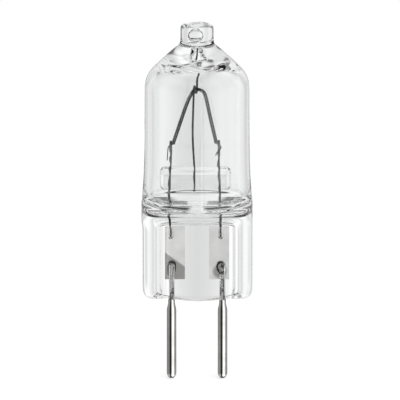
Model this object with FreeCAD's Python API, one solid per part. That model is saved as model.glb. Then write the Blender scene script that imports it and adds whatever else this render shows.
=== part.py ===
# Halogen capsule bulb with two contact pins, modelled as its separate pieces.
# Millimetres, +Z up the bulb, X along the line of the two pins, -Y to the front.
# The origin lies midway between the pins, in the plane where they reach their full diameter.

import FreeCAD, Part
import math
import os
from FreeCAD import Vector

# Contact pins
PIN_PITCH = 6.35
PIN_DIAMETER = 1.2
PIN_LENGTH = 8.8
PIN_TIP_LENGTH = 0.8
PIN_NECK_DIAMETER = 0.86
PIN_TAPER_LENGTH = 0.7
PIN_SOCKET_DEPTH = 1.1
PIN_GLASS_GAP = 0.05

# Lead wires and sealing foils
OUTER_LEAD_DIAMETER = 0.66
OUTER_WELD_LENGTH = 2.1
INNER_LEAD_DIAMETER = 0.32
INNER_LEAD_INSET = 0.03
INNER_WELD_LENGTH = 1.5
LEAD_HOOK_LEG = 0.75
FOIL_WIDTH = 2.55
FOIL_LENGTH = 6.9
FOIL_THICKNESS = 0.06
FOIL_FEATHER = 0.4
FOIL_INSET = 0.38
FOIL_RISE = 2.2
WELD_SINK = 0.03
WIRE_CLEARANCE = 0.02

# Pinch seal of the envelope
PINCH_RISE = 1.7
PINCH_WIDTH = 13.8
PINCH_HEIGHT = 11.6
RAIL_WIDTH = 2.2
RAIL_THICKNESS = 4.4
RAIL_ROUND = 1.0
WEB_THICKNESS = 2.6
WEB_BULGE = 0.5
WEB_CHAMFER = 0.5
COLLAR_HEIGHT = 2.0

# Tube, dome and tipped-off nub of the envelope
BULB_DIAMETER = 13.0
BULB_WALL = 0.65
RIM_FLARE = 0.45
RIM_CORNER = 0.8
FLARE_LENGTH = 2.5
SHOULDER_DROP = 1.9
FLOOR_THICKNESS = 0.2
TUBE_LENGTH = 16.5
DOME_SLOPE = 42.0
DOME_RADIUS = 3.6
CROWN_THICKNESS = 0.97
CEILING_CHAMFER = 2.1
NUB_DIAMETER = 4.1
NUB_HEIGHT = 2.5
NUB_ROUND = 0.9
BORE_DIAMETER = 1.2
BUBBLE_DIAMETER = 1.9
BUBBLE_COVER = 0.65

# Filament mount
MOUNT_SHIFT = -0.2
BRIDGE_DIAMETER = 3.0
BRIDGE_END_GAP = 1.45
BRIDGE_END_CHAMFER = 0.4
BRIDGE_RISE = 3.15
HOOK_RISE = 4.3
SUPPORT_DIAMETER = 0.25
SUPPORT_TAIL = 0.35
SUPPORT_BEND = 0.5
SUPPORT_IN_BORE = 1.6
COIL_DIAMETER = 0.47
COIL_WIRE = 0.13
COIL_TURNS_PER_LEG = 9
COIL_HOOK_GAP = 0.06
COIL_LOOP_GAP = 0.12
COIL_HEADROOM = 2.8
COIL_APEX_RADIUS = 0.9
COIL_TAIL_OVERHANG = 0.25
COIL_TAIL_BEND = 0.2
COIL_TAIL_LEFT = 1.5
COIL_TAIL_RIGHT = 0.9
POINTS_PER_TURN = 8

# Rounded corners and round wires are made of flats, each turned at most this far from the next
FLAT_TURN = 46.0
WIRE_FLAT_COUNT = 12
SAME_PLACE = 0.03

# Levels up the bulb
pinch_bottom = PINCH_RISE
rim_bottom = pinch_bottom + PINCH_HEIGHT
floor_level = rim_bottom + FLOOR_THICKNESS
dome_corner = rim_bottom + TUBE_LENGTH
dome_angle = math.radians(DOME_SLOPE)
bulb_radius = BULB_DIAMETER / 2
rim_radius = bulb_radius + RIM_FLARE
cavity_radius = bulb_radius - BULB_WALL
nub_radius = NUB_DIAMETER / 2
nub_base = dome_corner + (bulb_radius - nub_radius) * math.tan(dome_angle)
nub_top = nub_base + NUB_HEIGHT
crown_depth = CROWN_THICKNESS / math.cos(dome_angle)
ceiling_level = dome_corner + (BULB_WALL + CEILING_CHAMFER) * math.tan(dome_angle) - crown_depth
bore_radius = BORE_DIAMETER / 2
bubble_radius = BUBBLE_DIAMETER / 2
bubble_level = nub_top - BUBBLE_COVER - bubble_radius
bridge_level = floor_level + BRIDGE_RISE
hook_level = bridge_level + HOOK_RISE
apex_level = ceiling_level - COIL_HEADROOM

# Places across the bulb
LEFT = -1
RIGHT = 1
pin_x = PIN_PITCH / 2
outer_lead_radius = OUTER_LEAD_DIAMETER / 2
inner_lead_radius = INNER_LEAD_DIAMETER / 2
foil_face = outer_lead_radius - WELD_SINK
foil_bottom = pinch_bottom + FOIL_RISE
foil_top = foil_bottom + FOIL_LENGTH
mount_y = foil_face - inner_lead_radius + WELD_SINK
coil_radius = (COIL_DIAMETER - COIL_WIRE) / 2
hook_radius = (INNER_LEAD_DIAMETER + COIL_WIRE) / 2 + WIRE_CLEARANCE
loop_radius = (COIL_DIAMETER + SUPPORT_DIAMETER) / 2 + COIL_LOOP_GAP
loop_pitch = SUPPORT_DIAMETER + COIL_LOOP_GAP
pinch_half_width = PINCH_WIDTH / 2
web_half_width = pinch_half_width - RAIL_WIDTH / 2
pinch_top = rim_bottom + RIM_CORNER


def rounded(points, radii):
    """The points with each inner one that has a radius replaced by flats along a tangent arc."""
    path = [points[0]]
    for before, corner, after, radius in zip(points, points[1:], points[2:], radii):
        if not radius:
            path.append(corner)
            continue
        back = (before - corner).normalize()
        ahead = (after - corner).normalize()
        turn = math.pi - back.getAngle(ahead)
        setback = radius * math.tan(turn / 2)
        centre = corner + (back + ahead).normalize() * (radius / math.cos(turn / 2))
        first = corner + back * setback - centre
        last = corner + ahead * setback - centre
        flats = math.ceil(math.degrees(turn) / FLAT_TURN)
        for step in range(flats + 1):
            passed = turn * step / flats
            spoke = first * math.sin(turn - passed) + last * math.sin(passed)
            point = centre + spoke * (1 / math.sin(turn))
            if not point.isEqual(path[-1], SAME_PLACE):
                path.append(point)
    path.append(points[-1])
    return path


def flat_face(corners):
    return Part.Face(Part.makePolygon(corners + corners[:1]))


def spun(points, radii):
    """A solid of revolution about Z, from pairs of radius and height that start and end on the axis."""
    outline = rounded([Vector(radius, 0, height) for radius, height in points], radii)
    return flat_face(outline).revolve(Vector(0, 0, 0), Vector(0, 0, 1), 360)


def drawn_wire(path, sideways, corner_radius, flats):
    """A wire along a path of points, with the sideways direction of its section at each of them."""
    headings = [(b - a).normalize() for a, b in zip(path, path[1:])]
    sections = []
    for point, side, before, after in zip(path, sideways, headings[:1] + headings, headings + headings[-1:]):
        heading = (before + after).normalize()
        across = (side - heading * side.dot(heading)).normalize() * corner_radius
        upward = heading.cross(across)
        corners = []
        for index in range(flats):
            angle = 2 * math.pi * (index + 0.5) / flats
            corners.append(point + across * math.cos(angle) + upward * math.sin(angle))
        sections.append(corners)
    faces = [flat_face(sections[0]), flat_face(sections[-1])]
    for near, far in zip(sections, sections[1:]):
        for index in range(flats):
            faces.append(flat_face([near[index - 1], near[index], far[index]]))
            faces.append(flat_face([near[index - 1], far[index], far[index - 1]]))
    return Part.Solid(Part.Shell(faces)).removeSplitter()


def round_wire(points, radii, diameter):
    """A round wire bent at its inner points, its bends in or near planes across X."""
    path = rounded(points, radii)
    return drawn_wire(path, [Vector(1, 0, 0)] * len(path), diameter / 2, WIRE_FLAT_COUNT)


def wire_channel(foot, top, diameter):
    """The space that the glass leaves round an upright wire."""
    return Part.makeCylinder(diameter / 2 + WIRE_CLEARANCE, (top - foot).Length, foot)


def web_bottom(x):
    """Height of the web's bulging lower edge at a distance from the axis."""
    radius = (web_half_width ** 2 + WEB_BULGE ** 2) / (2 * WEB_BULGE)
    return pinch_bottom - WEB_BULGE + radius - math.sqrt(radius ** 2 - x ** 2)


pin_top = web_bottom(pin_x) - PIN_GLASS_GAP
lead_foot = pin_top - PIN_SOCKET_DEPTH


def contact_pin(side):
    """A turned pin: rounded tip, full diameter, tapered neck with a blind socket for the outer lead."""
    pin_radius = PIN_DIAMETER / 2
    neck_radius = PIN_NECK_DIAMETER / 2
    tip_start = PIN_TIP_LENGTH - PIN_LENGTH
    tip = []
    for angle in (0, 45, 90):
        turned = math.radians(angle)
        tip.append((pin_radius * math.sin(turned), tip_start - PIN_TIP_LENGTH * math.cos(turned)))
    neck = [(pin_radius, 0), (neck_radius, PIN_TAPER_LENGTH), (neck_radius, pin_top), (0, pin_top)]
    body = spun(tip + neck, [0] * 5)
    pin = body.cut(Part.makeCylinder(outer_lead_radius, PIN_SOCKET_DEPTH, Vector(0, 0, lead_foot)))
    pin.translate(Vector(side * pin_x, 0, 0))
    return pin


def seal_foil(side):
    """A thin strip with feathered long edges, its front face against the two wires welded to it."""
    half_width = FOIL_WIDTH / 2
    half_flat = half_width - FOIL_FEATHER
    middle = foil_face + FOIL_THICKNESS / 2
    back = foil_face + FOIL_THICKNESS
    section = [
        (-half_flat, foil_face),
        (half_flat, foil_face),
        (half_width, middle),
        (half_flat, back),
        (-half_flat, back),
        (-half_width, middle),
    ]
    centre = side * (pin_x - FOIL_INSET)
    corners = [Vector(centre + x, y, foil_bottom) for x, y in section]
    return flat_face(corners).extrude(Vector(0, 0, FOIL_LENGTH))


def outer_lead_ends(side):
    """The two ends of the wire from the pin's socket to its weld on the lower end of the foil."""
    foot = Vector(side * pin_x, 0, lead_foot)
    return foot, Vector(foot.x, foot.y, foil_bottom + OUTER_WELD_LENGTH)


def outer_lead(side):
    foot, top = outer_lead_ends(side)
    return Part.makeCylinder(outer_lead_radius, (top - foot).Length, foot)


def inner_lead_points(side):
    """Up from the foil and through the bridge, then folded over: forward on the left, back on the right."""
    x = MOUNT_SHIFT + side * (pin_x - INNER_LEAD_INSET)
    folded_y = mount_y + side * 2 * hook_radius
    fold_top = hook_level + hook_radius
    return [
        Vector(x, mount_y, foil_top - INNER_WELD_LENGTH),
        Vector(x, mount_y, fold_top),
        Vector(x, folded_y, fold_top),
        Vector(x, folded_y, hook_level - LEAD_HOOK_LEG),
    ]


def inner_lead(side):
    return round_wire(inner_lead_points(side), [hook_radius, hook_radius], INNER_LEAD_DIAMETER)


def coil_centre_line():
    """An inverted V with a round top, from beside one lead's fold to beside the other's."""
    beside = inner_lead_radius + COIL_DIAMETER / 2 + COIL_HOOK_GAP
    feet = []
    for side in (LEFT, RIGHT):
        x = inner_lead_points(side)[0].x - side * beside
        y = mount_y + side * (hook_radius - coil_radius)
        feet.append(Vector(x, y, hook_level - COIL_WIRE))
    centre = Vector(MOUNT_SHIFT, mount_y, apex_level - COIL_APEX_RADIUS)
    half_span = MOUNT_SHIFT - feet[0].x
    rise = centre.z - feet[0].z
    slope = math.atan2(rise, half_span) + math.asin(COIL_APEX_RADIUS / math.hypot(rise, half_span))
    spread = Vector(COIL_APEX_RADIUS * math.sin(slope), 0, 0)
    lift = Vector(0, 0, COIL_APEX_RADIUS * math.cos(slope))
    left_end = centre - spread + lift
    right_end = centre + spread + lift
    return [
        Part.LineSegment(feet[0], left_end).toShape(),
        Part.Arc(left_end, centre + Vector(0, 0, COIL_APEX_RADIUS), right_end).toShape(),
        Part.LineSegment(right_end, feet[1]).toShape(),
    ]


def coil_turns():
    """Points along a right-handed helix about the centre line, and the direction outwards at each of them."""
    centre_line = coil_centre_line()
    turns = 2 * COIL_TURNS_PER_LEG + 0.5
    steps = round(turns * POINTS_PER_TURN)
    total = sum(edge.Length for edge in centre_line)
    points = []
    outwards = []
    for step in range(steps + 1):
        along = total * step / steps
        edge = centre_line[0]
        for following in centre_line[1:]:
            if along > edge.Length:
                along = along - edge.Length
                edge = following
        parameter = edge.getParameterByLength(min(along, edge.Length))
        heading = edge.tangentAt(parameter)
        front = (Vector(0, -1, 0) + heading * heading.y).normalize()
        turned = 2 * math.pi * turns * step / steps
        outward = front * math.cos(turned) + heading.cross(front) * math.sin(turned)
        points.append(edge.valueAt(parameter) + outward * coil_radius)
        outwards.append(outward)
    return points, outwards


def coil_tail(end, beside, outward, side, drop):
    """Points of the straight wire past the coil: from its end out through the lead's fold, then down."""
    run = COIL_DIAMETER / 2 + COIL_HOOK_GAP + INNER_LEAD_DIAMETER + COIL_TAIL_OVERHANG
    step = end - beside
    corner = end + (step - outward * step.dot(outward)).normalize() * run
    tip = corner + Vector(side * COIL_TAIL_BEND / 2, 0, -drop)
    return rounded([end, corner, tip], [COIL_TAIL_BEND])[1:]


def filament():
    """One tungsten wire of square section, coiled along an inverted V, with a straight tail at each end."""
    points, outwards = coil_turns()
    left_tail = coil_tail(points[0], points[1], outwards[0], LEFT, COIL_TAIL_LEFT)
    right_tail = coil_tail(points[-1], points[-2], outwards[-1], RIGHT, COIL_TAIL_RIGHT)
    path = left_tail[::-1] + points + right_tail
    sideways = outwards[:1] * len(left_tail) + outwards + outwards[-1:] * len(right_tail)
    return drawn_wire(path, sideways, COIL_WIRE / math.sqrt(2), 4)


def support_points():
    """Up through the bridge behind the coil, one turn round its top, then over to the bore of the dome."""
    left = MOUNT_SHIFT - loop_pitch / 2
    right = MOUNT_SHIFT + loop_pitch / 2
    back = mount_y + loop_radius
    front = mount_y - loop_radius
    loop_top = apex_level + loop_radius
    loop_bottom = apex_level - loop_radius
    return [
        Vector(left, back, bridge_level - BRIDGE_DIAMETER / 2 - SUPPORT_TAIL),
        Vector(left, back, loop_top),
        Vector(MOUNT_SHIFT, front, loop_top),
        Vector(MOUNT_SHIFT, front, loop_bottom),
        Vector(right, back, loop_bottom),
        Vector(right, back, apex_level + SUPPORT_BEND),
        Vector(0, 0, ceiling_level - SUPPORT_BEND),
        Vector(0, 0, ceiling_level + SUPPORT_IN_BORE),
    ]


def filament_support():
    return round_wire(support_points(), [loop_radius] * 4 + [SUPPORT_BEND] * 2, SUPPORT_DIAMETER)


def quartz_bridge():
    """A fire-polished quartz rod across the tube, with the three wires sealed through it."""
    half_length = cavity_radius - BRIDGE_END_GAP
    radius = BRIDGE_DIAMETER / 2
    end_radius = radius - BRIDGE_END_CHAMFER
    chamfer_start = half_length - BRIDGE_END_CHAMFER
    points = [
        (0, -half_length),
        (end_radius, -half_length),
        (radius, -chamfer_start),
        (radius, chamfer_start),
        (end_radius, half_length),
        (0, half_length),
    ]
    rod = spun(points, [0] * 4)
    rod.rotate(Vector(0, 0, 0), Vector(0, 1, 0), 90)
    rod.translate(Vector(MOUNT_SHIFT, mount_y, bridge_level))
    channels = [wire_channel(*support_points()[:2], SUPPORT_DIAMETER)]
    for side in (LEFT, RIGHT):
        channels.append(wire_channel(*inner_lead_points(side)[:2], INNER_LEAD_DIAMETER))
    return rod.cut(channels)


def pinch_rail(side):
    """The thick bar along one edge of the pinch, rounded all round."""
    edge_round = min(RAIL_ROUND, 0.48 * RAIL_WIDTH, 0.48 * RAIL_THICKNESS)
    corner = Vector(side * web_half_width - RAIL_WIDTH / 2, -RAIL_THICKNESS / 2, pinch_bottom)
    bar = Part.makeBox(RAIL_WIDTH, RAIL_THICKNESS, pinch_top - pinch_bottom, corner)
    below_tube = [edge for edge in bar.Edges if edge.CenterOfMass.z < pinch_top - edge_round]
    return bar.makeFillet(edge_round, below_tube)


def low_edges(plate):
    """The edges along the front and back of a plate's lower end."""
    across = [edge for edge in plate.Edges if edge.BoundBox.XLength > web_half_width]
    return [edge for edge in across if edge.CenterOfMass.z < plate.CenterOfMass.z]


def pinch_web():
    """The thin middle of the pinch, its lower edge squeezed out in a shallow bulge."""
    left = Vector(-web_half_width, -WEB_THICKNESS / 2, pinch_bottom)
    right = Vector(web_half_width, -WEB_THICKNESS / 2, pinch_bottom)
    rise = Vector(0, 0, PINCH_HEIGHT)
    edges = [
        Part.LineSegment(left + rise, left).toShape(),
        Part.Arc(left, Vector(0, left.y, pinch_bottom - WEB_BULGE), right).toShape(),
        Part.LineSegment(right, right + rise).toShape(),
        Part.LineSegment(right + rise, left + rise).toShape(),
    ]
    plate = Part.Face(Part.Wire(edges)).extrude(Vector(0, WEB_THICKNESS, 0))
    return plate.makeChamfer(min(WEB_CHAMFER, 0.45 * WEB_THICKNESS), low_edges(plate))


def pinch_collar():
    """The thick band below the tube, where the web ends."""
    corner = Vector(-web_half_width, -RAIL_THICKNESS / 2, rim_bottom - COLLAR_HEIGHT)
    height = pinch_top - corner.z
    band = Part.makeBox(2 * web_half_width, RAIL_THICKNESS, height, corner)
    return band.makeFillet(min(RAIL_ROUND, 0.45 * COLLAR_HEIGHT), low_edges(band))


def envelope_cavity():
    """The gas space: flat floor, tube, flat ceiling, and the exhaust bore up to its bubble."""
    return spun(
        [
            (0, floor_level),
            (cavity_radius, floor_level),
            (cavity_radius, ceiling_level - CEILING_CHAMFER),
            (cavity_radius - CEILING_CHAMFER, ceiling_level),
            (bore_radius, ceiling_level),
            (bore_radius, bubble_level - 0.8 * bubble_radius),
            (bubble_radius, bubble_level),
            (0.7 * bubble_radius, bubble_level + 0.7 * bubble_radius),
            (0, bubble_level + bubble_radius),
        ],
        [0] * 7,
    )


def quartz_envelope():
    """Tube, dome, nub and pinch in one piece of glass, closed round the foils and wires."""
    tube = spun(
        [
            (0, rim_bottom - SHOULDER_DROP),
            (rim_radius, rim_bottom),
            (bulb_radius, rim_bottom + FLARE_LENGTH),
            (bulb_radius, dome_corner),
            (nub_radius, nub_base),
            (nub_radius, nub_top),
            (0, nub_top),
        ],
        [RIM_CORNER, 0, DOME_RADIUS, 0, NUB_ROUND],
    )
    glass = tube.fuse([pinch_web(), pinch_rail(LEFT), pinch_rail(RIGHT), pinch_collar()])
    cuts = [envelope_cavity()]
    for side in (LEFT, RIGHT):
        cuts.append(seal_foil(side))
        cuts.append(wire_channel(*outer_lead_ends(side), OUTER_LEAD_DIAMETER))
        cuts.append(wire_channel(*inner_lead_points(side)[:2], INNER_LEAD_DIAMETER))
    return glass.cut(cuts).removeSplitter()


pieces = {
    "quartz_envelope": quartz_envelope(),
    "quartz_bridge": quartz_bridge(),
    "filament": filament(),
    "filament_support": filament_support(),
}
for side, name in ((LEFT, "left"), (RIGHT, "right")):
    foil = seal_foil(side)
    pieces["seal_foil_" + name] = foil
    pieces["inner_lead_" + name] = inner_lead(side).cut(foil)
    pieces["outer_lead_" + name] = outer_lead(side).cut(foil)
    pieces["contact_pin_" + name] = contact_pin(side)

os.makedirs("parts", exist_ok=True)
for name, shape in pieces.items():
    shape.exportStep(os.path.join("parts", name + ".step"))
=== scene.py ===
import bpy
import bmesh
import math
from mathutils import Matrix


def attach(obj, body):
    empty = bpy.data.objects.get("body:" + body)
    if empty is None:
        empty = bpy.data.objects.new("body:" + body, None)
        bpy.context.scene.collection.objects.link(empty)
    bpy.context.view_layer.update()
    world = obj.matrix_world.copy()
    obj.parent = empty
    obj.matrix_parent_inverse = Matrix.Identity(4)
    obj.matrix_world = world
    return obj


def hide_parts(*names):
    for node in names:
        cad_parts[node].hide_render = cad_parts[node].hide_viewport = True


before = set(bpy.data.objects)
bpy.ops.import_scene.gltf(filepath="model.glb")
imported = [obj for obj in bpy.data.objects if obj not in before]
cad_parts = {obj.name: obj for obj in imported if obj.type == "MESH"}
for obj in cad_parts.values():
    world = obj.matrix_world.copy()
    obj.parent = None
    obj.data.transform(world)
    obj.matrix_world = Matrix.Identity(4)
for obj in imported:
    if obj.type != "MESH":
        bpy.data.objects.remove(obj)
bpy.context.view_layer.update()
scene = bpy.context.scene
scene.view_settings.view_transform = "Standard"
# Light crosses many faces of glass here, so its paths are long.
scene.cycles.max_bounces = 32
scene.cycles.transmission_bounces = 28
scene.cycles.glossy_bounces = 12
mm = 0.001

# Contact pins: two straight drawn nickel pins, turned to a narrower neck where they meet the glass
# and rounded at the tip so that they enter the lamp holder. Each neck is a socket for an outer lead.
pin_x = 3.175 * mm
pin_radius = 0.6 * mm
pin_tip = -8.8 * mm
tip_length = 0.85 * mm
tip_bluntness = 0.85
tip_steps = 10
neck_radius = 0.43 * mm
neck_start = 0.75 * mm
neck_top = 1.3 * mm


def fresh_material(name, colour, metallic, roughness):
    material = bpy.data.materials.new(name)
    material.use_nodes = True
    shader = material.node_tree.nodes["Principled BSDF"]
    shader.inputs["Base Color"].default_value = (*colour, 1)
    shader.inputs["Metallic"].default_value = metallic
    shader.inputs["Roughness"].default_value = roughness
    return material


def draw_lines_group():
    """Fine lines along Z that a drawing die leaves, with soft dark blotches over them: handling marks on
    most parts, and painted shade between the reflections along the inner leads and the support wire.
    """
    group = bpy.data.node_groups.new("drawn_metal", "ShaderNodeTree")
    sockets = group.interface
    sockets.new_socket("Colour", in_out="INPUT", socket_type="NodeSocketColor")
    for name in ("Depth", "Polish", "Stain_and_shade", "Grain"):
        sockets.new_socket(name, in_out="INPUT", socket_type="NodeSocketFloat")
    sockets.new_socket("Colour", in_out="OUTPUT", socket_type="NodeSocketColor")
    for name in ("Roughness", "Height"):
        sockets.new_socket(name, in_out="OUTPUT", socket_type="NodeSocketFloat")
    nodes = group.nodes
    links = group.links
    inside = nodes.new("NodeGroupInput")
    outside = nodes.new("NodeGroupOutput")
    place = nodes.new("ShaderNodeTexCoord")
    stretch = nodes.new("ShaderNodeMapping")
    stretch.inputs["Scale"].default_value = (1, 1, 0.02)
    lines = nodes.new("ShaderNodeTexNoise")
    lines.inputs["Scale"].default_value = 9000
    lines.inputs["Detail"].default_value = 3
    blotches = nodes.new("ShaderNodeTexNoise")
    blotches.inputs["Detail"].default_value = 4
    shade = nodes.new("ShaderNodeMapRange")
    shade.interpolation_type = "SMOOTHSTEP"
    shade.inputs["From Min"].default_value = 0.36
    shade.inputs["From Max"].default_value = 0.6
    shade.inputs["To Max"].default_value = 1.06
    darkest = nodes.new("ShaderNodeMath")
    darkest.operation = "SUBTRACT"
    darkest.inputs[0].default_value = 1.06
    tinted = nodes.new("ShaderNodeVectorMath")
    tinted.operation = "SCALE"
    haze = nodes.new("ShaderNodeMath")
    haze.operation = "MULTIPLY_ADD"
    haze.inputs[1].default_value = 0.06
    raised = nodes.new("ShaderNodeMath")
    raised.operation = "MULTIPLY"
    links.new(place.outputs["Object"], stretch.inputs["Vector"])
    links.new(stretch.outputs["Vector"], lines.inputs["Vector"])
    links.new(place.outputs["Object"], blotches.inputs["Vector"])
    links.new(inside.outputs["Grain"], blotches.inputs["Scale"])
    links.new(blotches.outputs["Fac"], shade.inputs["Value"])
    links.new(inside.outputs["Stain_and_shade"], darkest.inputs[1])
    links.new(darkest.outputs["Value"], shade.inputs["To Min"])
    links.new(inside.outputs["Colour"], tinted.inputs[0])
    links.new(shade.outputs["Result"], tinted.inputs["Scale"])
    links.new(blotches.outputs["Fac"], haze.inputs[0])
    links.new(inside.outputs["Polish"], haze.inputs[2])
    links.new(lines.outputs["Fac"], raised.inputs[0])
    links.new(inside.outputs["Depth"], raised.inputs[1])
    links.new(tinted.outputs["Vector"], outside.inputs["Colour"])
    links.new(haze.outputs["Value"], outside.inputs["Roughness"])
    links.new(raised.outputs["Value"], outside.inputs["Height"])
    return group


drawn_metal = draw_lines_group()


def drawn_material(name, colour, polish, stain_and_shade, grain):
    """Drawn metal: polish is its least roughness; the next number is the depth of its dark patches and grain
    their fineness. The patches are stains on most parts, and painted shade between the reflections along the
    inner leads and the support wire.
    """
    material = fresh_material(name, colour, 1.0, polish)
    nodes = material.node_tree.nodes
    links = material.node_tree.links
    shader = nodes["Principled BSDF"]
    surface = nodes.new("ShaderNodeGroup")
    surface.node_tree = drawn_metal
    surface.inputs["Colour"].default_value = (*colour, 1)
    surface.inputs["Depth"].default_value = 0.15
    surface.inputs["Stain_and_shade"].default_value = stain_and_shade
    surface.inputs["Grain"].default_value = grain
    surface.inputs["Polish"].default_value = polish
    bump = nodes.new("ShaderNodeBump")
    bump.inputs["Strength"].default_value = 0.25
    bump.inputs["Distance"].default_value = 0.00002
    links.new(surface.outputs["Colour"], shader.inputs["Base Color"])
    links.new(surface.outputs["Roughness"], shader.inputs["Roughness"])
    links.new(surface.outputs["Height"], bump.inputs["Height"])
    links.new(bump.outputs["Normal"], shader.inputs["Normal"])
    return material


nickel = drawn_material("drawn_nickel", (0.68, 0.67, 0.65), 0.02, 0.16, 700)


def start_editing():
    bpy.ops.object.mode_set(mode="EDIT")
    bpy.ops.mesh.select_all(action="DESELECT")
    bpy.ops.mesh.select_mode(type="VERT")
    return bmesh.from_edit_mesh(bpy.context.object.data)


def finish_editing(name):
    bpy.ops.mesh.select_all(action="SELECT")
    bpy.ops.mesh.remove_doubles(threshold=1e-7)
    bpy.ops.mesh.normals_make_consistent(inside=False)
    bpy.ops.object.mode_set(mode="OBJECT")
    piece = bpy.context.object
    piece.name = name
    bpy.ops.object.transform_apply(location=True, rotation=True, scale=True)
    return piece


def turned_piece(name, outline, x, y, steps):
    """A turned piece on an upright axis, from pairs of radius and height that start and end on it."""
    bpy.ops.object.select_all(action="DESELECT")
    bpy.ops.mesh.primitive_plane_add(size=1 * mm)
    start_editing()
    bpy.ops.mesh.select_all(action="SELECT")
    bpy.ops.mesh.merge(type="CENTER")
    bpy.ops.transform.translate(value=(outline[0][0], 0, outline[0][1]))
    for near, far in zip(outline, outline[1:]):
        step = (far[0] - near[0], 0, far[1] - near[1])
        bpy.ops.mesh.extrude_region_move(TRANSFORM_OT_translate={"value": step})
    bpy.ops.mesh.select_all(action="SELECT")
    bpy.ops.mesh.spin(steps=steps, angle=2 * math.pi, center=(0, 0, 0), axis=(0, 0, 1))
    piece = finish_editing(name)
    piece.location = (x, y, 0)
    bpy.ops.object.transform_apply(location=True)
    bpy.ops.object.shade_smooth_by_angle(angle=math.radians(35))
    return piece


tip_arc = []
for step in range(tip_steps + 1):
    turned = math.radians(90 * step / tip_steps)
    tip_radius = pin_radius * math.sin(turned) ** tip_bluntness
    tip_arc.append((tip_radius, pin_tip + tip_length * (1 - math.cos(turned))))
pin_outline = tip_arc + [
    (pin_radius, 0),
    (0.59 * mm, 0.08 * mm),
    (0.45 * mm, neck_start - 0.05 * mm),
    (neck_radius, neck_start + 0.05 * mm),
    (neck_radius, neck_top - 0.04 * mm),
    (neck_radius - 0.04 * mm, neck_top),
    (0, neck_top),
]
for side, node in ((-1, "contact_pin_left"), (1, "contact_pin_right")):
    pin = turned_piece(node + "_turned", pin_outline, side * pin_x, 0, 72)
    pin.data.materials.append(nickel)
    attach(pin, "root")
    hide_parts(node)

# Outer leads: short stiff molybdenum wires, welded into the pins below and to the foils above.
# The upper end is squeezed slightly round by the electrode. A near-black ring round it is partly the
# weld's crust of oxide and partly painted shade standing in for the dark edge of the glass gap there.
stained_molybdenum = drawn_material("stained_molybdenum", (0.4, 0.392, 0.384), 0.03, 1.02, 1900)
lead_radius = 0.33 * mm
lead_outline = [
    (0, 0.25 * mm),
    (lead_radius, 0.25 * mm),
    (lead_radius, 5.82 * mm),
    (0.29 * mm, 5.92 * mm),
    (0.2 * mm, 5.98 * mm),
    (0, 6.0 * mm),
]
for side, node in ((-1, "outer_lead_left"), (1, "outer_lead_right")):
    lead = turned_piece(node + "_wire", lead_outline, side * pin_x, 0, 48)
    lead.data.materials.append(stained_molybdenum)
    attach(lead, "root")
    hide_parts(node)


def bent_wire(name, points, radius, sides):
    """A drawn wire near the given points. A fourth number at a point is its relative thickness there."""
    line = bpy.data.curves.new(name, "CURVE")
    line.dimensions = "3D"
    run = line.splines.new("NURBS")
    run.points.add(len(points) - 1)
    for place, point in zip(run.points, points):
        place.co = (point[0] * mm, point[1] * mm, point[2] * mm, 1)
        place.radius = point[3] if len(point) > 3 else 1.0
    run.order_u = 3
    run.use_endpoint_u = True
    run.resolution_u = 8
    line.bevel_depth = radius
    line.bevel_resolution = sides
    line.use_fill_caps = True
    wire = bpy.data.objects.new(name, line)
    scene.collection.objects.link(wire)
    bpy.ops.object.select_all(action="DESELECT")
    wire.select_set(True)
    bpy.context.view_layer.objects.active = wire
    bpy.ops.object.convert(target="MESH")
    wire = bpy.context.object
    bpy.ops.object.shade_smooth_by_angle(angle=math.radians(50))
    return wire


# A near-black ring round each lead's upper end: partly weld oxide, partly painted shade for the dark edge of
# the gap in the glass.
oxide_and_shade_paint = drawn_material("oxide_and_painted_shade", (0.03, 0.03, 0.032), 0.35, 0.4, 1900)
dark_ring_radius = 0.08 * mm
left_dark_ring = [
    (-0.46, 0.02, 4.35, 0.3), (-0.5, 0.02, 4.7), (-0.5, 0.0, 5.2, 1.1), (-0.49, -0.02, 5.7, 1.2),
    (-0.36, -0.04, 6.06, 1.1), (0.0, -0.05, 6.18), (0.36, -0.04, 6.08, 1.2), (0.49, -0.02, 5.74, 0.9),
    (0.49, 0.0, 5.3, 0.7), (0.47, 0.02, 4.9, 0.3),
]
right_dark_ring = [
    (-0.2, -0.3, 4.6, 0.6), (-0.52, -0.2, 4.95), (-0.68, -0.1, 5.4, 1.2), (-0.62, -0.05, 5.86, 1.3),
    (-0.3, -0.05, 6.12, 1.3), (0.1, -0.05, 6.08, 1.1), (0.3, -0.1, 5.8), (0.24, -0.2, 5.45, 0.8),
    (0.0, -0.3, 5.2, 0.4),
]
for side, name, points in ((-1, "oxide_and_shade_ring_left", left_dark_ring), (1, "oxide_and_shade_ring_right", right_dark_ring)):
    placed = [(side * pin_x / mm + point[0], *point[1:]) for point in points]
    dark_ring = bent_wire(name, placed, dark_ring_radius, 3)
    dark_ring.data.materials.append(oxide_and_shade_paint)
    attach(dark_ring, "root")

# Sealing foils: strips of rolled molybdenum a few hundredths of a millimetre thick, pressed in the
# soft glass. They crease a little as the glass closes on them. Their lower ends are painted darker,
# partly the burn of the weld and partly a painted dark reflection.
foil_metal = fresh_material("rolled_molybdenum", (0.8, 0.8, 0.79), 1.0, 0.3)
foil_nodes = foil_metal.node_tree.nodes
foil_links = foil_metal.node_tree.links
foil_place = foil_nodes.new("ShaderNodeTexCoord")
foil_stretch = foil_nodes.new("ShaderNodeMapping")
foil_stretch.inputs["Scale"].default_value = (1, 1, 0.12)
rolling = foil_nodes.new("ShaderNodeTexNoise")
rolling.inputs["Scale"].default_value = 2600
rolling.inputs["Detail"].default_value = 4
clouding = foil_nodes.new("ShaderNodeTexNoise")
clouding.inputs["Scale"].default_value = 520
clouding.inputs["Detail"].default_value = 3
foil_tone = foil_nodes.new("ShaderNodeValToRGB")
foil_tone.color_ramp.elements[0].position = 0.3
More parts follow.
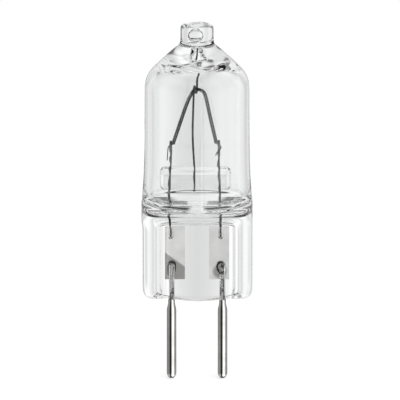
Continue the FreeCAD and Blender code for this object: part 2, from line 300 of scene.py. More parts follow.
foil_tone.color_ramp.elements[0].color = (0.69, 0.69, 0.68, 1)
foil_tone.color_ramp.elements[1].position = 0.72
foil_tone.color_ramp.elements[1].color = (0.83, 0.83, 0.82, 1)
foil_bump = foil_nodes.new("ShaderNodeBump")
foil_bump.inputs["Strength"].default_value = 0.35
foil_bump.inputs["Distance"].default_value = 0.00003
foil_links.new(foil_place.outputs["Object"], foil_stretch.inputs["Vector"])
foil_links.new(foil_stretch.outputs["Vector"], rolling.inputs["Vector"])
foil_links.new(foil_place.outputs["Object"], clouding.inputs["Vector"])
foil_links.new(clouding.outputs["Fac"], foil_tone.inputs["Fac"])
foil_parts = foil_nodes.new("ShaderNodeSeparateXYZ")
foil_links.new(foil_place.outputs["Object"], foil_parts.inputs["Vector"])


def maths(tree, operation, *values):
    """The result of a sum whose inputs are numbers or other nodes' results."""
    node = tree.nodes.new("ShaderNodeMath")
    node.operation = operation
    for socket, value in zip(node.inputs, values):
        if isinstance(value, (int, float)):
            socket.default_value = value
        else:
            tree.links.new(value, socket)
    return node.outputs["Value"]


def faded(tree, value, none, full):
    """A smooth rise from 0 to 1 as the value goes from one number to the other."""
    node = tree.nodes.new("ShaderNodeMapRange")
    node.interpolation_type = "SMOOTHSTEP"
    node.inputs["From Min"].default_value = none
    node.inputs["From Max"].default_value = full
    tree.links.new(value, node.inputs["Value"])
    return node.outputs["Result"]


# The foils' lower ends are painted darker: partly the weld's burn, partly a painted dark reflection.
dark_patch_slope = 0.72
foil_tree = foil_metal.node_tree
slant = maths(foil_tree, "MULTIPLY_ADD", foil_parts.outputs["X"], dark_patch_slope, foil_parts.outputs["Z"])
left_half = maths(foil_tree, "LESS_THAN", foil_parts.outputs["X"], 0.0)
left_dark_patch = maths(foil_tree, "MULTIPLY", faded(foil_tree, slant, 4.55 * mm, 4.25 * mm), left_half)
right_lead_end = foil_nodes.new("ShaderNodeVectorMath")
right_lead_end.operation = "DISTANCE"
right_lead_end.inputs[1].default_value = (2.85 * mm, 0.33 * mm, 4.9 * mm)
foil_links.new(foil_place.outputs["Object"], right_lead_end.inputs[0])
right_dark_patch = faded(foil_tree, right_lead_end.outputs["Value"], 1.15 * mm, 0.6 * mm)
burn_and_dark_reflection = foil_nodes.new("ShaderNodeMix")
burn_and_dark_reflection.data_type = "RGBA"
foil_links.new(maths(foil_tree, "MAXIMUM", left_dark_patch, right_dark_patch), burn_and_dark_reflection.inputs["Factor"])
foil_links.new(foil_tone.outputs["Color"], burn_and_dark_reflection.inputs[6])
burn_and_dark_reflection.inputs[7].default_value = (0.34, 0.335, 0.33, 1)
foil_links.new(burn_and_dark_reflection.outputs[2], foil_nodes["Principled BSDF"].inputs["Base Color"])
foil_links.new(rolling.outputs["Fac"], foil_bump.inputs["Height"])
foil_links.new(foil_bump.outputs["Normal"], foil_nodes["Principled BSDF"].inputs["Normal"])

foil_width = 2.55 * mm
foil_length = 6.9 * mm
foil_thickness = 0.03 * mm
foil_centre_x = 2.795 * mm
foil_centre_z = 7.35 * mm
foil_y = 0.33 * mm
long_wave = 0.01 * mm
short_wave = 0.006 * mm
fold_depth = 0.16 * mm
fold_start = 0.08
fold_slant = 0.28
for side, node in ((-1, "seal_foil_left"), (1, "seal_foil_right")):
    bpy.ops.object.select_all(action="DESELECT")
    bpy.ops.mesh.primitive_grid_add(x_subdivisions=18, y_subdivisions=44, size=1)
    foil = bpy.context.object
    foil.scale = (foil_width, foil_length, 1)
    foil.rotation_euler = (math.pi / 2, 0, 0)
    foil.location = (side * foil_centre_x, foil_y, foil_centre_z)
    bpy.ops.object.transform_apply(location=True, rotation=True, scale=True)
    for vertex in foil.data.vertices:
        across = (vertex.co.x - side * foil_centre_x) / foil_width
        along = (vertex.co.z - foil_centre_z) / foil_length
        wave = long_wave * math.sin(9 * along + 3 * across * side)
        wave += short_wave * math.sin(23 * along - 5 * across)
        fold = 0.0
        if side < 0:
            fold = -fold_depth * max(0.0, -along - fold_start - fold_slant * (across + 0.5))
        vertex.co.y = foil_y + wave + fold
    thick = foil.modifiers.new("thickness", "SOLIDIFY")
    thick.thickness = foil_thickness
    thick.offset = 0
    bpy.ops.object.modifier_apply(modifier=thick.name)
    bpy.ops.object.shade_smooth_by_angle(angle=math.radians(40))
    foil.name = node + "_sheet"
    foil.data.materials.append(foil_metal)
    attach(foil, "root")
    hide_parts(node)

# Inner leads: thin molybdenum wires from the foils through the bridge rod, folded over at the top
# so that the fold clamps the end of the filament, forward on the left and back on the right.
# A bow is a lead's run up to its fold: x, z and relative thickness, in millimetres like all wires.
# The deep dark patches along these wires are painted shade between their reflections.
molybdenum = drawn_material("drawn_molybdenum", (0.16, 0.157, 0.155), 0.03, 1.0, 1300)
inner_lead_radius = 0.155 * mm
mount_y = 0.17
fold_reach = 0.49
fold_round = 0.04
left_bow = [
    (-3.3, 9.25, 0.7), (-3.31, 9.5, 1.35), (-3.3, 10.0, 1.25), (-3.38, 10.5, 0.95), (-3.36, 11.4, 1.0),
    (-3.5, 12.6, 0.95), (-3.5, 13.9, 1.0), (-3.54, 14.6, 1.1), (-3.36, 15.5, 0.7), (-3.44, 16.2, 1.35),
    (-3.3, 17.0, 0.6), (-3.38, 17.7, 1.35), (-3.23, 18.4, 0.5), (-3.32, 19.1, 1.35), (-3.2, 19.7, 0.6),
    (-3.26, 20.4, 1.35),
]
right_bow = [
    (2.95, 9.25, 0.7), (2.96, 9.5, 1.35), (2.93, 10.0, 1.2), (2.97, 10.6, 0.95), (2.93, 11.5, 1.0),
    (2.93, 12.6, 0.95), (2.84, 13.9, 1.0), (2.9, 14.7, 0.8), (2.75, 15.5, 1.3), (2.82, 16.2, 0.65),
    (2.69, 16.9, 1.35), (2.78, 17.6, 0.55), (2.65, 18.4, 1.4), (2.74, 19.2, 0.5), (2.68, 19.8, 1.4),
    (2.72, 20.4, 0.9),
]
for side, node, bow in ((-1, "inner_lead_left", left_bow), (1, "inner_lead_right", right_bow)):
    x = bow[-1][0]
    fold_y = mount_y + side * fold_reach
    points = [(place, mount_y, z, thickness) for place, z, thickness in bow] + [
        (x, mount_y, 21.12),
        (x, mount_y + side * fold_round, 21.32),
        (x, mount_y + side * fold_reach / 2, 21.36),
        (x, fold_y - side * fold_round, 21.32),
        (x, fold_y, 21.1),
        (x + side * 0.03, fold_y, 20.6, 1.2),
        (x + side * 0.02, fold_y - side * 0.03, 20.15, 0.9),
    ]
    lead = bent_wire(node + "_wire", points, inner_lead_radius, 4)
    lead.data.materials.append(molybdenum)
    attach(lead, "root")
    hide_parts(node)

# Bridge: a fire-polished quartz rod across the tube. The two leads and the support wire were sealed
# through it while it was soft, which keeps the mount in shape.
quartz = fresh_material("clear_quartz", (0.985, 0.99, 0.99), 0.0, 0.0)
quartz_nodes = quartz.node_tree.nodes
quartz_links = quartz.node_tree.links
quartz_shader = quartz_nodes["Principled BSDF"]
quartz_shader.inputs["Transmission Weight"].default_value = 1.0
quartz_shader.inputs["IOR"].default_value = 1.458
quartz_place = quartz_nodes.new("ShaderNodeTexCoord")
ripple = quartz_nodes.new("ShaderNodeTexNoise")
ripple.inputs["Scale"].default_value = 260
ripple.inputs["Detail"].default_value = 1
jaw_stretch = quartz_nodes.new("ShaderNodeMapping")
jaw_stretch.inputs["Scale"].default_value = (1, 0.3, 0.1)
jaw_marks = quartz_nodes.new("ShaderNodeTexNoise")
jaw_marks.inputs["Scale"].default_value = 1100
jaw_marks.inputs["Detail"].default_value = 2
quartz_parts = quartz_nodes.new("ShaderNodeSeparateXYZ")
pinched = quartz_nodes.new("ShaderNodeMapRange")
pinched.inputs["From Min"].default_value = 12.4 * mm
pinched.inputs["From Max"].default_value = 11.2 * mm
pinched.inputs["To Max"].default_value = 0.35
relief = quartz_nodes.new("ShaderNodeMath")
relief.operation = "MULTIPLY_ADD"
quartz_bump = quartz_nodes.new("ShaderNodeBump")
quartz_bump.inputs["Strength"].default_value = 0.14
quartz_bump.inputs["Distance"].default_value = 0.0001
light_path = quartz_nodes.new("ShaderNodeLightPath")
clear = quartz_nodes.new("ShaderNodeBsdfTransparent")
clear.inputs["Color"].default_value = (0.93, 0.94, 0.94, 1)
shadow_mix = quartz_nodes.new("ShaderNodeMixShader")
quartz_links.new(quartz_place.outputs["Object"], ripple.inputs["Vector"])
quartz_links.new(quartz_place.outputs["Object"], jaw_stretch.inputs["Vector"])
quartz_links.new(jaw_stretch.outputs["Vector"], jaw_marks.inputs["Vector"])
quartz_links.new(quartz_place.outputs["Object"], quartz_parts.inputs["Vector"])
quartz_links.new(quartz_parts.outputs["Z"], pinched.inputs["Value"])
quartz_links.new(jaw_marks.outputs["Fac"], relief.inputs[0])
quartz_links.new(pinched.outputs["Result"], relief.inputs[1])
quartz_links.new(ripple.outputs["Fac"], relief.inputs[2])
quartz_links.new(relief.outputs["Value"], quartz_bump.inputs["Height"])
quartz_links.new(quartz_bump.outputs["Normal"], quartz_shader.inputs["Normal"])
quartz_links.new(light_path.outputs["Is Shadow Ray"], shadow_mix.inputs["Fac"])
quartz_links.new(quartz_shader.outputs["BSDF"], shadow_mix.inputs[1])
quartz_links.new(clear.outputs["BSDF"], shadow_mix.inputs[2])
quartz_links.new(shadow_mix.outputs["Shader"], quartz_nodes["Material Output"].inputs["Surface"])

bridge_length = 8.8 * mm
bridge_radius = 1.5 * mm
bridge_round = 0.62 * mm
bridge_x = -0.2 * mm
bridge_z = 16.65 * mm
bpy.ops.object.select_all(action="DESELECT")
bpy.ops.mesh.primitive_cylinder_add(vertices=96, radius=bridge_radius, depth=bridge_length)
mesh = start_editing()
for edge in mesh.edges:
    ends = edge.verts
    edge.select = ends[0].co.z * ends[1].co.z > 0
bpy.ops.mesh.bevel(offset=bridge_round, segments=9, affect="EDGES")
bridge = finish_editing("bridge_rod")
bridge.rotation_euler = (0, math.pi / 2, 0)
bridge.location = (bridge_x, mount_y * mm, bridge_z)
bpy.ops.object.transform_apply(location=True, rotation=True, scale=True)
bpy.ops.object.shade_smooth()
bridge.data.materials.append(quartz)
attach(bridge, "root")
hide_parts("quartz_bridge")

# Filament support: one tungsten wire out of the bridge, wound once round the top of the coil like a
# pigtail, then up into the bore of the dome, where it steadies the mount.
# The deep dark patches along the support wire are painted shade between its reflections.
tungsten = drawn_material("drawn_tungsten", (0.07, 0.069, 0.068), 0.08, 0.95, 1300)
support_radius = 0.13 * mm
support_points = [
    (-0.34, 0.65, 14.8, 1.3),
    (-0.4, 0.65, 15.3, 1.2),
    (-0.29, 0.65, 16.0, 0.6),
    (-0.37, 0.65, 16.7, 1.3),
    (-0.28, 0.65, 17.3, 0.6),
    (-0.36, 0.65, 18.2),
    (-0.58, 0.65, 22.2),
    (-0.46, 0.65, 25.4),
    (-0.4, 0.65, 27.7),
    (-0.385, 0.65, 28.3),
    (-0.36, 0.5, 28.66),
    (-0.3, 0.17, 28.68),
    (-0.24, -0.2, 28.62),
    (-0.2, -0.31, 28.2),
    (-0.16, -0.2, 27.8),
    (-0.1, 0.17, 27.7),
    (-0.04, 0.5, 27.78),
    (-0.01, 0.64, 28.2),
    (0.0, 0.6, 28.7),
    (0.0, 0.2, 29.4),
    (0.02, 0.02, 30.2),
    (0.0, 0.0, 31.4),
    (0.02, 0.0, 32.5),
]
support = bent_wire("filament_support_wire", support_points, support_radius, 4)
support.data.materials.append(tungsten)
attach(support, "root")
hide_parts("filament_support")

# Filament: tungsten wire wound into a close coil, bent into an inverted V over the pigtail.
# The straight tails at its ends are clamped in the folds of the leads.
coil_metal = drawn_material("coiled_tungsten", (0.04, 0.0395, 0.039), 0.2, 0.4, 1900)
coil_radius = 0.195 * mm
coil_wire = 0.056 * mm
coil_pitch = 0.135 * mm
tail_radius = 0.06 * mm
coil_line = [
    (-3.0, 0.12, 21.0),
    (-2.2, 0.12, 23.4),
    (-1.35, 0.13, 25.9),
    (-0.8, 0.15, 27.35),
    (-0.42, 0.17, 28.25),
    (0.3, 0.18, 28.3),
    (0.88, 0.18, 27.9),
    (1.12, 0.2, 26.9),
    (1.42, 0.21, 25.4),
    (1.9, 0.22, 23.2),
    (2.42, 0.22, 21.0),
]
guide = bpy.data.curves.new("coil_guide", "CURVE")
guide.dimensions = "3D"
guide_run = guide.splines.new("NURBS")
guide_run.points.add(len(coil_line) - 1)
for place, point in zip(guide_run.points, coil_line):
    place.co = (point[0] * mm, point[1] * mm, point[2] * mm, 1)
guide_run.order_u = 3
guide_run.use_endpoint_u = True
guide_run.resolution_u = 24
guide_object = bpy.data.objects.new("coil_guide", guide)
scene.collection.objects.link(guide_object)
coil_turns = int(guide_run.calc_length() / coil_pitch)

bpy.ops.object.select_all(action="DESELECT")
bpy.ops.mesh.primitive_circle_add(vertices=7, radius=coil_wire, rotation=(math.pi / 2, 0, 0))
coil = bpy.context.object
coil.location = (coil_radius, 0, 0)
bpy.ops.object.transform_apply(location=True, rotation=True, scale=True)
winding = coil.modifiers.new("winding", "SCREW")
winding.axis = "Z"
winding.angle = 2 * math.pi
winding.steps = 16
winding.render_steps = 16
winding.screw_offset = coil_pitch
winding.iterations = coil_turns
winding.use_smooth_shade = True
bpy.ops.object.modifier_apply(modifier=winding.name)
bending = coil.modifiers.new("bending", "CURVE")
bending.object = guide_object
bending.deform_axis = "POS_Z"
bpy.ops.object.modifier_apply(modifier=bending.name)
bpy.data.objects.remove(guide_object)
left_tail = bent_wire("left_tail", [
    (-2.95, -0.06, 21.15),
    (-3.05, -0.075, 21.0),
    (-3.2, -0.075, 20.9),
    (-3.5, -0.075, 20.85),
    (-3.62, -0.075, 20.4),
    (-3.7, -0.075, 19.0),
], tail_radius, 3)
right_tail = bent_wire("right_tail", [
    (2.4, 0.4, 21.1),
    (2.52, 0.415, 20.95),
    (2.72, 0.415, 20.85),
    (2.98, 0.415, 20.7),
    (2.98, 0.415, 20.4),
    (2.7, 0.415, 20.1),
    (2.45, 0.4, 19.9),
    (2.32, 0.38, 19.5),
], tail_radius, 3)
bpy.ops.object.select_all(action="DESELECT")
for piece in (left_tail, right_tail, coil):
    piece.select_set(True)
bpy.context.view_layer.objects.active = coil
bpy.ops.object.join()
start_editing()
filament = finish_editing("filament_coil")
filament.data.materials.clear()
filament.data.materials.append(coil_metal)
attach(filament, "root")
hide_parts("filament")

# Envelope: one piece of blown quartz. The tube, its dome and the tipped-off nub are round, and the
# lower end was heated and pinched between jaws into two thick rails with a thinner web between them.
# Inside are the gas space, the bubble of the tip-off, and narrow gaps where glass and wires parted.
round_corners = 32
cage_swell = 6 / (4 + 2 * math.cos(2 * math.pi / round_corners))
web_section = [
    (6.91, 0), (6.87, 0.8), (6.68, 1.55), (6.2, 2.1), (5.55, 2.24),
    (5.2, 2.16), (5.0, 1.75), (4.4, 1.38), (0, 1.3),
]
collar_section = [
    (6.91, 0), (6.87, 0.8), (6.68, 1.55), (6.2, 2.1), (5.5, 2.24),
    (4.7, 2.22), (3.6, 2.22), (1.9, 2.22), (0, 2.22),
]
foot_section = [
    (6.91, 0), (6.87, 0.8), (6.68, 1.55), (6.2, 2.08), (5.6, 2.16),
    (5.2, 2.0), (4.9, 1.74), (4.4, 1.46), (0, 1.3),
]
rim_radius = 6.9
rail_half_depth = 2.22
foot_top = 2.9
bulge_drop = 0.75
bulge_x = 0.8
bulge_half_width = 4.5
left_narrowing = 0.982
mound_places = (-2.1, 2.3)
mound_half_width = 1.0
mound_y = -3.9
mound_half_depth = 1.2
bubble_x = -0.15
bubble_y = -1.3
bubble_z = 34.95
bubble_half_x = 0.88
bubble_half_y = 0.5
bubble_half_z = 0.86
bubble_steps = 12


def all_round(quadrant):
    """A quarter section mirrored to the whole ring, anticlockwise from +X."""
    back = quadrant
    left = [(-x, y) for x, y in quadrant[-2::-1]]
    front = [(x, -y) for x, y in (back + left)[-2:0:-1]]
    return back + left + front


def oval(half_x, half_y):
    quadrant = []
    for corner in range(round_corners // 4 + 1):
        turned = 2 * math.pi * corner / round_corners
        quadrant.append((half_x * cage_swell * math.cos(turned), half_y * cage_swell * math.sin(turned)))
    return all_round(quadrant)


def between(first, second, share):
    """A ring part of the way from one ring to another."""
    return [(a[0] + (b[0] - a[0]) * share, a[1] + (b[1] - a[1]) * share) for a, b in zip(first, second)]


def skinned(rings, inward):
    """A closed skin over rings of points from the bottom up, smoothed by subdivision."""
    mesh = bmesh.new()
    loops = [[mesh.verts.new((x * mm, y * mm, z * mm)) for x, y, z in ring] for ring in rings]
    for lower, upper in zip(loops, loops[1:]):
        for corner in range(round_corners):
            mesh.faces.new((lower[corner - 1], lower[corner], upper[corner], upper[corner - 1]))
    for loop in (loops[0], loops[-1]):
        half = round_corners // 2
        for corner in range(1, half - 1):
            mesh.faces.new((loop[corner], loop[corner + 1], loop[-corner - 1], loop[-corner]))
        mesh.faces.new((loop[0], loop[1], loop[-1]))
        mesh.faces.new((loop[half], loop[half + 1], loop[half - 1]))
    bmesh.ops.recalc_face_normals(mesh, faces=mesh.faces)
    if inward:
        bmesh.ops.reverse_faces(mesh, faces=mesh.faces)
    data = bpy.data.meshes.new("skin")
    mesh.to_mesh(data)
    mesh.free()
    skin = bpy.data.objects.new("skin", data)
    scene.collection.objects.link(skin)
    bpy.ops.object.select_all(action="DESELECT")
    skin.select_set(True)
    bpy.context.view_layer.objects.active = skin
    smoothing = skin.modifiers.new("smoothing", "SUBSURF")
    smoothing.levels = 2
    smoothing.render_levels = 2
    bpy.ops.object.modifier_apply(modifier=smoothing.name)
    bpy.ops.object.shade_smooth()
    return skin


def uneven(ring, amount, phase, sag=0.0):
    """The small waves that a torch leaves in soft glass: a share of the ring's size, and a sag."""
    waved = []
    for x, y, z in ring:
        turned = math.atan2(y, x)
        swell = 1 + amount * (0.6 * math.sin(2 * turned + phase) + 0.5 * math.sin(3 * turned - 2 * phase))
        waved.append((x * swell, y * swell, z - sag * (1 + math.sin(3 * turned - 1.7 * phase)) / 2))
    return waved


web_ring = all_round(web_section)
collar_ring = all_round(collar_section)
rim_ring = oval(rim_radius, rim_radius)
foot_ring = all_round(foot_section)
outer_rings = []
for z, end_inset, face_inset, bulge in (
    (1.72, 1.05, 0.62, 1.0), (1.7, 0.8, 0.4, 1.0), (1.78, 0.44, 0.16, 1.0), (2.05, 0.16, 0.03, 0.9),
    (2.6, 0.02, 0.0, 0.6), (3.3, 0.0, 0.0, 0.3), (4.6, 0.0, 0.0, 0.0), (7.0, 0.0, 0.0, 0.0),
    (9.6, 0.0, 0.0, 0.0), (10.7, 0.0, 0.0, 0.0),
):
    ring = []
    footed = max(0.0, min(1.0, foot_top - z))
    for x, y in between(web_ring, foot_ring, footed):
        aside = min(1.0, abs(x - bulge_x) / bulge_half_width)
        drop = bulge * bulge_drop * math.cos(math.pi / 2 * aside) ** 2
        narrow = 1.0 if x > 0 else left_narrowing
        inset_x = x * narrow * (1 - end_inset / rim_radius)
        inset_y = y * (1 - face_inset / rail_half_depth)
        ring.append((inset_x, inset_y, z - drop))
    outer_rings.append(ring)
for z, share in ((11.05, 0.06), (11.35, 0.4), (11.62, 0.85), (11.9, 1.0)):
    outer_rings.append([(x, y, z) for x, y in between(web_ring, collar_ring, share)])
for z, share in (
    (12.1, 0.0), (12.45, 0.08), (12.8, 0.28), (13.08, 0.54),
    (13.28, 0.78), (13.46, 0.93), (13.75, 0.985),
):
    outer_rings.append([(x, y, z) for x, y in between(collar_ring, rim_ring, share)])
for z, radius in (
    (14.2, 6.82), (14.9, 6.79), (16.0, 6.69), (17.5, 6.6), (19.5, 6.53), (22.0, 6.5), (25.0, 6.5),
    (27.4, 6.5), (28.4, 6.49), (29.2, 6.38), (30.0, 6.03), (30.75, 5.42), (31.6, 4.52), (32.5, 3.52),
    (33.1, 2.84), (33.42, 2.42), (33.66, 2.15), (33.95, 2.05), (34.6, 2.05), (35.4, 2.07),
    (35.8, 2.03), (36.06, 1.87), (36.2, 1.55), (36.27, 1.0), (36.3, 0.45),
):
    softened = 0.02 if 33.3 < z < 36.1 else 0.0
    sag = 0.09 if z > 35.9 else 0.0
    outer_rings.append(uneven([(x, y, z) for x, y in oval(radius, radius)], softened, 6 * z, sag))
envelope = skinned(outer_rings, False)

cavity_rings = []
for z, half_x, half_y in (
    (13.3, 3.4, 0.7), (13.28, 4.5, 2.2), (13.32, 5.0, 3.4), (13.42, 5.36, 4.4), (13.62, 5.65, 5.05),
    (13.98, 5.85, 5.5), (14.6, 5.98, 5.82), (15.4, 6.02, 5.98), (16.3, 5.98, 5.98),
    (17.5, 5.92, 5.92), (19.5, 5.87, 5.87), (22.0, 5.85, 5.85), (25.0, 5.85, 5.85), (27.4, 5.85, 5.85),
    (28.2, 5.83, 5.83), (28.9, 5.68, 5.68), (29.6, 5.27, 5.27), (30.2, 4.68, 4.68), (30.65, 4.05, 4.05),
    (30.9, 3.4, 3.4), (31.0, 2.6, 2.6), (31.04, 1.7, 1.7), (31.1, 1.05, 1.05), (31.26, 0.72, 0.72),
    (31.6, 0.6, 0.6), (32.4, 0.56, 0.56), (32.85, 0.42, 0.42), (33.1, 0.2, 0.2), (33.2, 0.08, 0.08),
):
    softened = 0.12 if 30.4 < z < 32.9 else 0.0
    ceiling_sag = 0.14 if 30.8 < z < 31.2 else 0.0
    mound_height = 0.22 if z < 13.5 else 0.0
    ring = []
    for x, y in oval(half_x, half_y):
        mound = sum(math.exp(-((x - place) / mound_half_width) ** 2) for place in mound_places)
        mound *= math.exp(-((y - mound_y) / mound_half_depth) ** 2)
        ring.append((x, y, z + mound_height * mound))
    cavity_rings.append(uneven(ring, softened, 3 * z, ceiling_sag))
cavity = skinned(cavity_rings, True)
bubble_rings = []
for step in range(1, bubble_steps):
    turned = math.pi * step / bubble_steps
    ring = oval(bubble_half_x * math.sin(turned), bubble_half_y * math.sin(turned))
    z = bubble_z - bubble_half_z * math.cos(turned)
    bubble_rings.append([(bubble_x + x, bubble_y + y, z) for x, y in ring])
bubble = skinned(bubble_rings, True)

left_gap = [
    (0, 1.5), (0.36, 1.5), (0.36, 4.2), (0.38, 4.6), (0.41, 5.0), (0.41, 5.6), (0.38, 5.85),
    (0.28, 6.02), (0.14, 6.08), (0, 6.1),
]
right_gap = [
    (0, 1.5), (0.37, 1.5), (0.37, 4.6), (0.38, 5.0), (0.42, 5.3), (0.44, 5.6), (0.4, 5.85),
    (0.28, 6.03), (0.14, 6.08), (0, 6.1),
]
weld_gap = [
    (0, 9.0), (0.18, 9.03), (0.3, 9.2), (0.33, 9.5), (0.3, 9.9), (0.22, 10.3), (0.19, 10.7), (0, 10.75),
]
skins = [cavity, bubble]
for outline, x, y in (
    (left_gap, -pin_x, 0), (right_gap, pin_x, 0),
    (weld_gap, left_bow[0][0] * mm, mount_y * mm), (weld_gap, right_bow[0][0] * mm, mount_y * mm),
):
    scaled = [(radius * mm, z * mm) for radius, z in outline]
    gap = turned_piece("lead_gap", scaled, x, y, 48)
    gap.data.flip_normals()
    skins.append(gap)
bpy.ops.object.select_all(action="DESELECT")
for skin in skins + [envelope]:
    skin.select_set(True)
bpy.context.view_layer.objects.active = envelope
bpy.ops.object.join()
envelope = bpy.context.object
envelope.name = "blown_envelope"
envelope.data.materials.clear()
envelope.data.materials.append(quartz)
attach(envelope, "root")
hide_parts("quartz_envelope")

# Floor: a plain pale disc under the pin tips, which keeps the soft shadow of the lamp overhead. It is
# white to the camera, glass shows it with a dark card lying at each side, and metal doesn't mirror it.
floor_radius = 45 * mm
floor_tone = (0.85, 0.85, 0.85)
card_tone = (0.04, 0.04, 0.04)
camera_glow = 0.5
glass_glow = 0.3
bpy.ops.object.select_all(action="DESELECT")
bpy.ops.mesh.primitive_circle_add(
    vertices=96, radius=floor_radius, fill_type="NGON", location=(0, 0, pin_tip),
)
floor = bpy.context.object
floor.name = "floor"
bpy.ops.object.transform_apply(location=True)
floor_paint = fresh_material("pale_floor", floor_tone, 0.0, 0.9)
floor_tree = floor_paint.node_tree
floor_shader = floor_tree.nodes["Principled BSDF"]
floor_path = floor_tree.nodes.new("ShaderNodeLightPath")
from_glass = floor_path.outputs["Is Transmission Ray"]
floor_place = floor_tree.nodes.new("ShaderNodeTexCoord")
floor_parts = floor_tree.nodes.new("ShaderNodeSeparateXYZ")
outward = floor_tree.nodes.new("ShaderNodeVectorMath")
outward.operation = "LENGTH"
floor_tree.links.new(floor_place.outputs["Object"], floor_parts.inputs["Vector"])
floor_tree.links.new(floor_place.outputs["Object"], outward.inputs[0])
sideways = maths(floor_tree, "ABSOLUTE", floor_parts.outputs["X"])
card_side = faded(floor_tree, sideways, 3 * mm, 6 * mm)
card_end = faded(floor_tree, outward.outputs["Value"], 32 * mm, 26 * mm)
card_shape = maths(floor_tree, "MULTIPLY", card_side, card_end)
card_seen = maths(floor_tree, "MULTIPLY", card_shape, from_glass)
beside_card = maths(floor_tree, "SUBTRACT", from_glass, card_seen)
seen_glow = maths(floor_tree, "MULTIPLY", beside_card, glass_glow)
floor_glow = maths(floor_tree, "MULTIPLY_ADD", floor_path.outputs["Is Camera Ray"], camera_glow, seen_glow)
card_paint = floor_tree.nodes.new("ShaderNodeMix")
card_paint.data_type = "RGBA"
card_paint.inputs[6].default_value = (*floor_tone, 1)
card_paint.inputs[7].default_value = (*card_tone, 1)
floor_tree.links.new(card_seen, card_paint.inputs["Factor"])
floor_tree.links.new(card_paint.outputs[2], floor_shader.inputs["Base Color"])
floor_tree.links.new(floor_glow, floor_shader.inputs["Emission Strength"])
floor_shader.inputs["Emission Color"].default_value = (1, 1, 1, 1)
floor.data.materials.append(floor_paint)
floor.visible_glossy = False

# Studio: white to the camera. Glass shows a pale backdrop all round with a dark flag at each side, a
# dark band above it and pale light overhead. Metal mirrors grey walls, the backdrop behind the bulb,
# and in front one soft box, a slim strip and a dark card.
world = bpy.data.worlds.new("studio")
scene.world = world
world.use_nodes = True
sky = world.node_tree.nodes
sky_links = world.node_tree.links
direction = sky.new("ShaderNodeTexCoord")
parts = sky.new("ShaderNodeSeparateXYZ")
sky_links.new(direction.outputs["Generated"], parts.inputs["Vector"])


def sky_ramp(position, lowest, highest, stops):
    """Brightness along a range of degrees, from pairs of degrees and brightness."""
    share = sky.new("ShaderNodeMapRange")
    share.inputs["From Min"].default_value = math.radians(lowest)
    share.inputs["From Max"].default_value = math.radians(highest)
    sky_links.new(position, share.inputs["Value"])
    ramp = sky.new("ShaderNodeValToRGB")
    elements = ramp.color_ramp.elements
    while len(elements) < len(stops):
        elements.new(0.5)
    for element, (degrees, brightness) in zip(elements, stops):
        element.position = (degrees - lowest) / (highest - lowest)
        element.color = (brightness, brightness, brightness, 1)
    sky_links.new(share.outputs["Result"], ramp.inputs["Fac"])
    return ramp.outputs["Color"]


height = maths(world.node_tree, "ARCSINE", parts.outputs["Z"])
forward = maths(world.node_tree, "MULTIPLY", parts.outputs["Y"], -1)
bearing = maths(world.node_tree, "ARCTAN2", parts.outputs["X"], forward)
behind = maths(world.node_tree, "ARCTAN2", parts.outputs["X"], parts.outputs["Y"])
through_wall = sky_ramp(behind, -180, 180, [
    (-180, 1.0), (-160, 0.95), (-140, 0.88), (-110, 0.88), (-82, 0.86), (-76, 0.6), (-68, 0.16),
    (-58, 0.16), (-51, 0.86), (-40, 0.88), (-33, 0.9), (-27, 0.78), (-18, 0.8), (-9, 0.95), (-5, 0.94),
    (-3, 0.86), (0, 0.71), (3, 0.86), (7, 0.95), (9, 1.06), (16, 1.04), (22, 0.84), (27, 0.72), (36, 0.7),
    (44, 0.82), (51, 0.84), (58, 0.16), (68, 0.16), (76, 0.6), (82, 0.86), (140, 0.88), (180, 1.0),
])
upper_wall = sky_ramp(behind, -180, 180, [
    (-180, 0.3), (-120, 0.2), (-60, 0.12), (-22, 0.12), (-13, 0.8), (13, 0.8), (22, 0.12), (60, 0.12),
    (120, 0.2), (180, 0.3),
])
overhead = sky_ramp(height, -90, 90, [
    (-90, 0.74), (-30, 0.74), (45, 0.88), (64, 0.88), (76, 0.4), (90, 0.3),
])
above_backdrop = sky_ramp(height, -90, 90, [(-90, 0.0), (23, 0.0), (28, 1.0), (90, 1.0)])
off_level = sky_ramp(height, -90, 90, [
    (-90, 1.0), (-56, 1.0), (-28, 0.0), (48, 0.0), (56, 1.0), (90, 1.0),
])
mirror_wall = sky_ramp(bearing, -180, 180, [
    (-180, 0.95), (-174, 0.95), (-168, 0.2), (-146, 0.24), (-120, 0.37), (-90, 0.38), (-60, 0.34),
    (-48, 0.22), (-40, 0.02), (-13, 0.01), (-8, 0.24), (-3, 0.3), (8, 0.3), (9, 3.2), (11.5, 3.2),
    (12.5, 0.4), (15, 0.45), (18, 1.7), (58, 1.6), (66, 0.62), (80, 0.5), (120, 0.4), (146, 0.24),
    (168, 0.2), (174, 0.95), (180, 0.95),
])
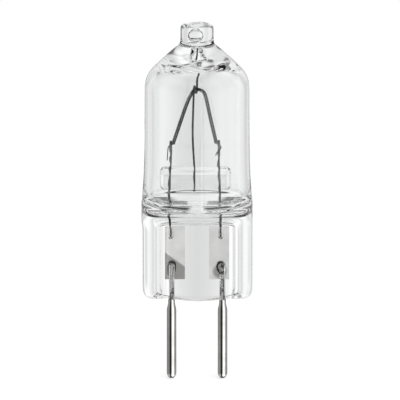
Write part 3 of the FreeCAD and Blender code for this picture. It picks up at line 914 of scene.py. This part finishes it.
mirror_level = sky_ramp(height, -90, 90, [
    (-90, 0.25), (-64, 0.35), (-48, 2.0), (-36, 2.0), (-22, 1.0), (40, 1.0), (58, 0.45), (90, 0.3),
])
mirrored = maths(world.node_tree, "MULTIPLY", mirror_wall, mirror_level)
room_level = 0.55
sky_path = sky.new("ShaderNodeLightPath")


def chosen(flag, yes, no):
    """One brightness or the other, or a blend of both where the flag is between 0 and 1."""
    pick = sky.new("ShaderNodeMix")
    pick.data_type = "FLOAT"
    sky_links.new(flag, pick.inputs["Factor"])
    for socket, value in ((pick.inputs["A"], no), (pick.inputs["B"], yes)):
        if isinstance(value, (int, float)):
            socket.default_value = value
        else:
            sky_links.new(value, socket)
    return pick.outputs["Result"]


through_glass = chosen(off_level, overhead, chosen(above_backdrop, upper_wall, through_wall))
level = chosen(sky_path.outputs["Is Glossy Ray"], mirrored, room_level)
level = chosen(sky_path.outputs["Is Transmission Ray"], through_glass, level)
level = chosen(sky_path.outputs["Is Camera Ray"], 1.0, level)
sky_links.new(level, sky["Background"].inputs["Strength"])
sky["Background"].inputs["Color"].default_value = (1, 1, 1, 1)

lamp_data = bpy.data.lights.new("overhead_softbox", "AREA")
lamp_data.shape = "DISK"
lamp_data.size = 0.18
lamp_data.energy = 0.2
lamp = bpy.data.objects.new("overhead_softbox", lamp_data)
lamp.location = (0.05, -0.08, 0.3)
lamp.rotation_euler = (math.radians(16), math.radians(9), 0)
lamp.visible_glossy = False
lamp.visible_transmission = False
lamp.visible_camera = False
scene.collection.objects.link(lamp)

# Camera: a long lens from the front, twelve degrees above the bulb, as in the photograph.
lens_data = bpy.data.cameras.new("front_camera")
lens_data.sensor_width = 36
lens_data.lens = 725
lens_data.clip_start = 0.01
camera = bpy.data.objects.new("front_camera", lens_data)
raised = math.radians(12)
distance = 1.0
aim_x = 0.37 * mm
aim_z = 13.92 * mm
camera.location = (aim_x, -distance * math.cos(raised), aim_z + distance * math.sin(raised))
camera.rotation_euler = (math.pi / 2 - raised, 0, 0)
scene.collection.objects.link(camera)
scene.camera = camera
